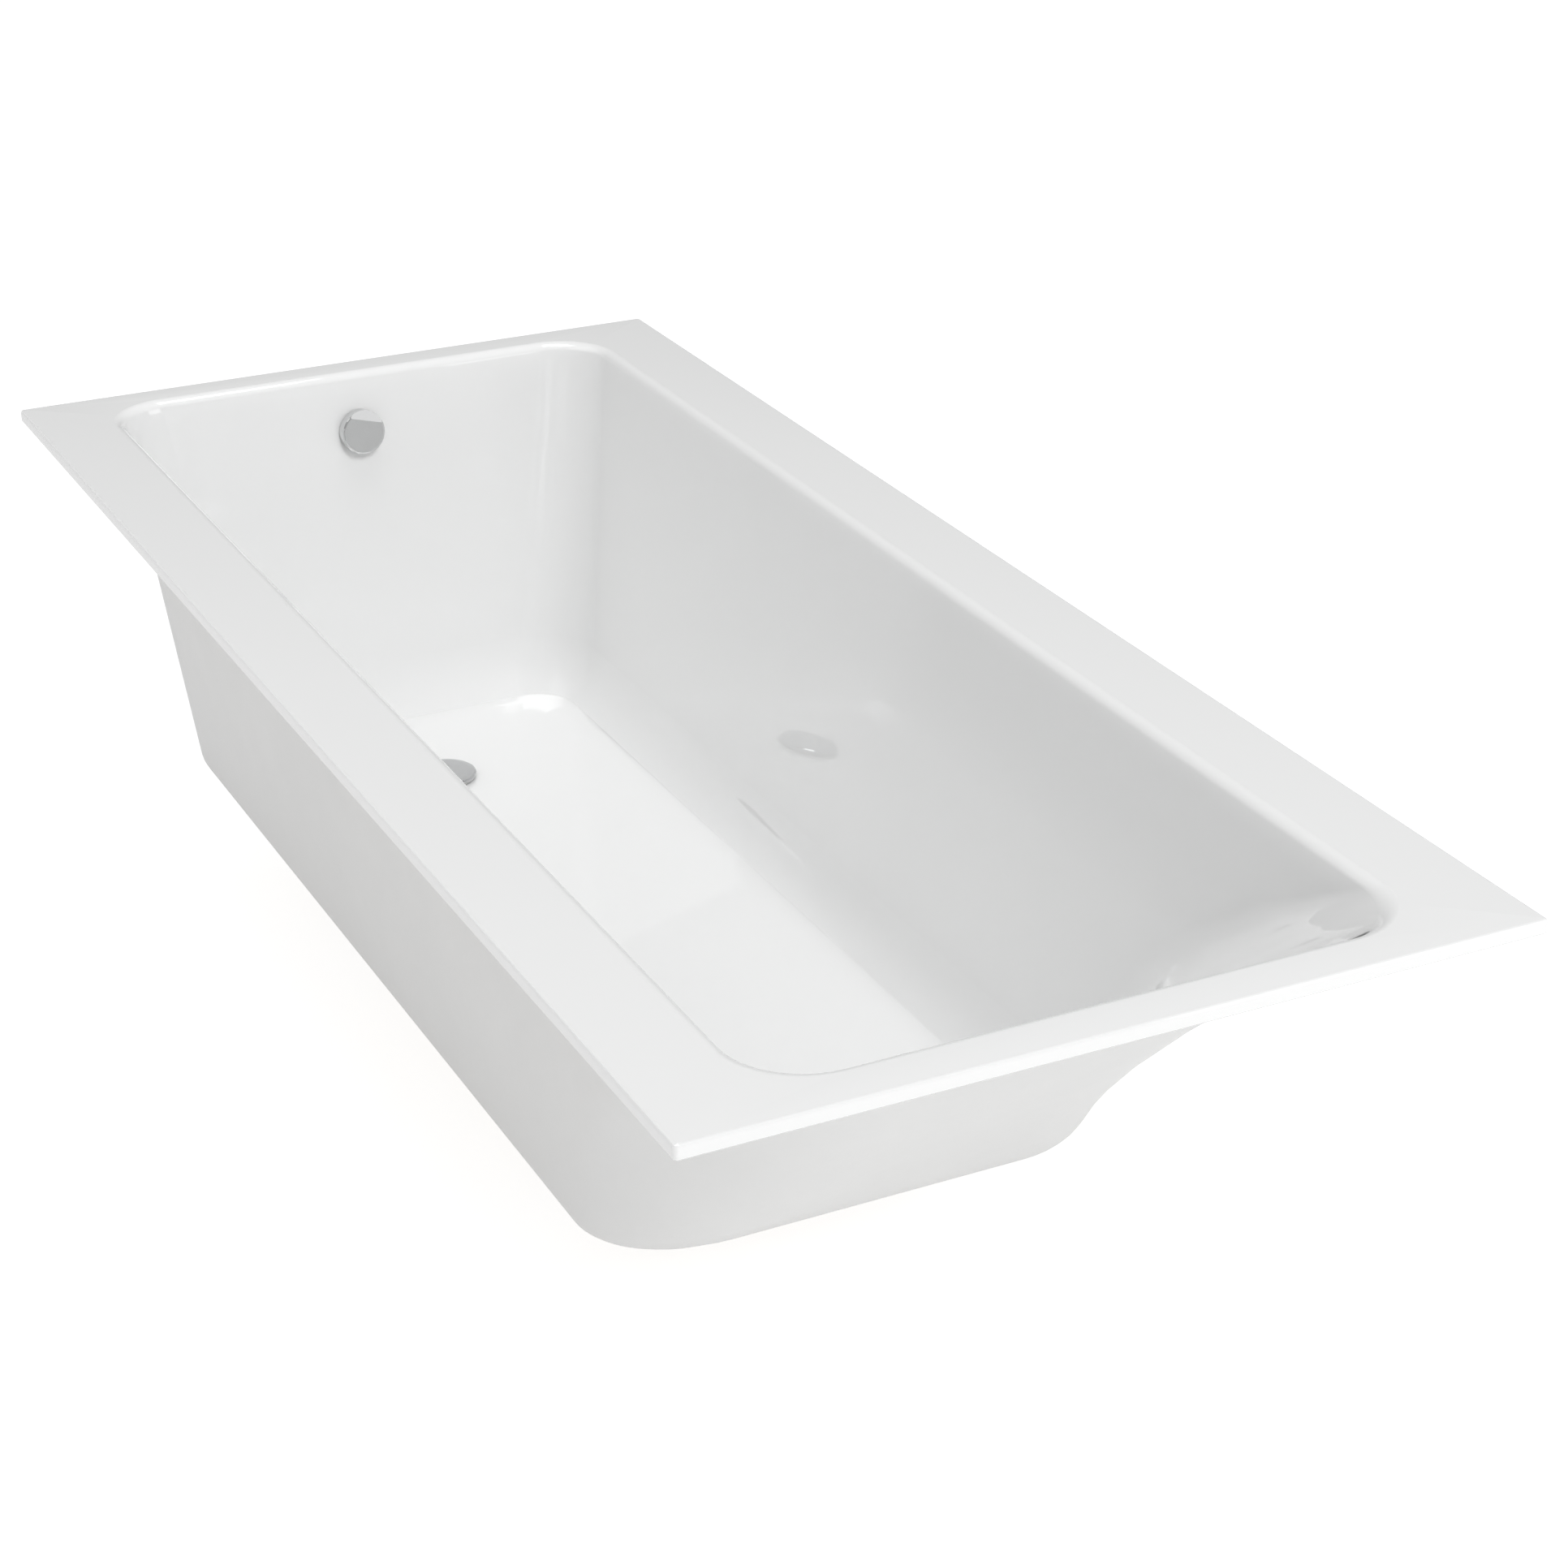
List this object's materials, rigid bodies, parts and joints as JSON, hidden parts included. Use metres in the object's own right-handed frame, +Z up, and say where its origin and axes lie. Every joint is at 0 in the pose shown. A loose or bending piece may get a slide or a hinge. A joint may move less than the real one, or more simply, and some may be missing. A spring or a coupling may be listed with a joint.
{
  "type": "bathtub",
  "caption": "Rectangular drop-in bathtub with a sloped head end, flat square rim, rotary pop-up waste and overflow, flat trap and levelling feet.",
  "frame": {"origin": "on the room floor, under the middle of the rim", "axes": "+X along the tub to the sloped head end (the drain end is -X), +Y to the rear long side, +Z up"},
  "size_m": [1.7, 0.74, 0.53],
  "materials": {
    "acrylic": "glossy white cast acrylic",
    "underfloor_board": "raw particle board under a resin coat",
    "rim_wood": "raw softwood batten under a resin coat",
    "galvanised_steel": "galvanised sheet",
    "zinc_fasteners": "bright zinc plate",
    "pad_plastic": "black moulded pad",
    "polished_chrome": "polished chrome plate",
    "stainless_steel": "fine brushed stainless",
    "brass": "turned brass",
    "pipe_plastic": "satin moulded polypropylene",
    "nut_plastic": "satin moulded polypropylene",
    "working_plastic": "dark acetal",
    "grey_rubber": "grey rubber",
    "black_rubber": "black rubber",
    "hose_plastic": "ribbed grey plastic hose",
    "cable_sleeve": "black cable sleeve"
  },
  "bodies": {
    "tub": {"tub_shell": "acrylic", "base_board": "underfloor_board", "rim_batten_front": "rim_wood", "rim_batten_rear": "rim_wood", "rim_batten_head": "rim_wood", "rim_batten_drain": "rim_wood", "leg_rail_drain": "galvanised_steel", "leg_rail_head": "galvanised_steel", "rail_screws": "zinc_fasteners", "foot_nuts": "zinc_fasteners", "waste_flange": "stainless_steel", "waste_gasket_top": "grey_rubber", "waste_gasket_bottom": "grey_rubber", "waste_body": "pipe_plastic", "shaft_seal": "black_rubber", "lever_cap": "pipe_plastic", "overflow_flange": "stainless_steel", "overflow_screws": "stainless_steel", "overflow_gasket_front": "grey_rubber", "overflow_gasket_rear": "grey_rubber", "overflow_housing": "pipe_plastic", "overflow_hose": "hose_plastic", "hose_clip_top": "stainless_steel", "hose_clip_bottom": "stainless_steel", "control_cable": "cable_sleeve", "trap_pot": "pipe_plastic", "trap_dip_tube": "pipe_plastic", "trap_seal": "black_rubber", "trap_union_nut": "nut_plastic", "trap_cap": "pipe_plastic", "trap_cap_seal": "black_rubber", "outlet_nut": "nut_plastic", "outlet_seal": "black_rubber"},
    "knob": {"overflow_knob": "polished_chrome", "knob_spindle": "stainless_steel", "cable_drum": "working_plastic", "knob_grub_screw": "zinc_fasteners"},
    "plug": {"plug_cover": "polished_chrome", "plug_seal": "black_rubber", "plug_stem": "stainless_steel", "stem_nut": "brass"},
    "lever": {"lift_lever": "working_plastic", "lever_shaft": "stainless_steel", "crank_arm": "working_plastic"},
    "outlet": {"outlet_elbow": "nut_plastic"},
    "foot_drain_front": {"foot_stud_drain_front": "zinc_fasteners", "foot_pad_drain_front": "pad_plastic"},
    "foot_drain_rear": {"foot_stud_drain_rear": "zinc_fasteners", "foot_pad_drain_rear": "pad_plastic"},
    "foot_head_front": {"foot_stud_head_front": "zinc_fasteners", "foot_pad_head_front": "pad_plastic"},
    "foot_head_rear": {"foot_stud_head_rear": "zinc_fasteners", "foot_pad_head_rear": "pad_plastic"}
  },
  "joints": [
    {"name": "knob_turn", "type": "hinge", "parent": "tub", "child": "knob", "pos_m": [-0.79975, 0, 0.464], "axis": [0.9954, 0, 0.0958], "range_deg": [0, 100]},
    {"name": "plug_lift", "type": "slide", "parent": "tub", "child": "plug", "axis": [0, 0, 1], "range_m": [0, 0.012]},
    {"name": "lever_tilt", "type": "hinge", "parent": "tub", "child": "lever", "pos_m": [-0.55383, 0, 0.091], "axis": [0, 1, 0], "range_deg": [0, 31.65]},
    {"name": "outlet_swivel", "type": "hinge", "parent": "tub", "child": "outlet", "pos_m": [-0.575, 0.077, 0.046], "axis": [0, 0, 1], "range_deg": [-60, 60]},
    {"name": "foot_level_drain_front", "type": "slide", "parent": "tub", "child": "foot_drain_front", "axis": [0, 0, 1], "range_m": [-0.015, 0.015]},
    {"name": "foot_level_drain_rear", "type": "slide", "parent": "tub", "child": "foot_drain_rear", "axis": [0, 0, 1], "range_m": [-0.015, 0.015]},
    {"name": "foot_level_head_front", "type": "slide", "parent": "tub", "child": "foot_head_front", "axis": [0, 0, 1], "range_m": [-0.015, 0.015]},
    {"name": "foot_level_head_rear", "type": "slide", "parent": "tub", "child": "foot_head_rear", "axis": [0, 0, 1], "range_m": [-0.015, 0.015]}
  ],
  "couplings": [
    {"joint": "plug_lift", "follows": "knob_turn", "m_per_rad": 0.0068755},
    {"joint": "lever_tilt", "follows": "knob_turn", "ratio": 0.31653}
  ]
}
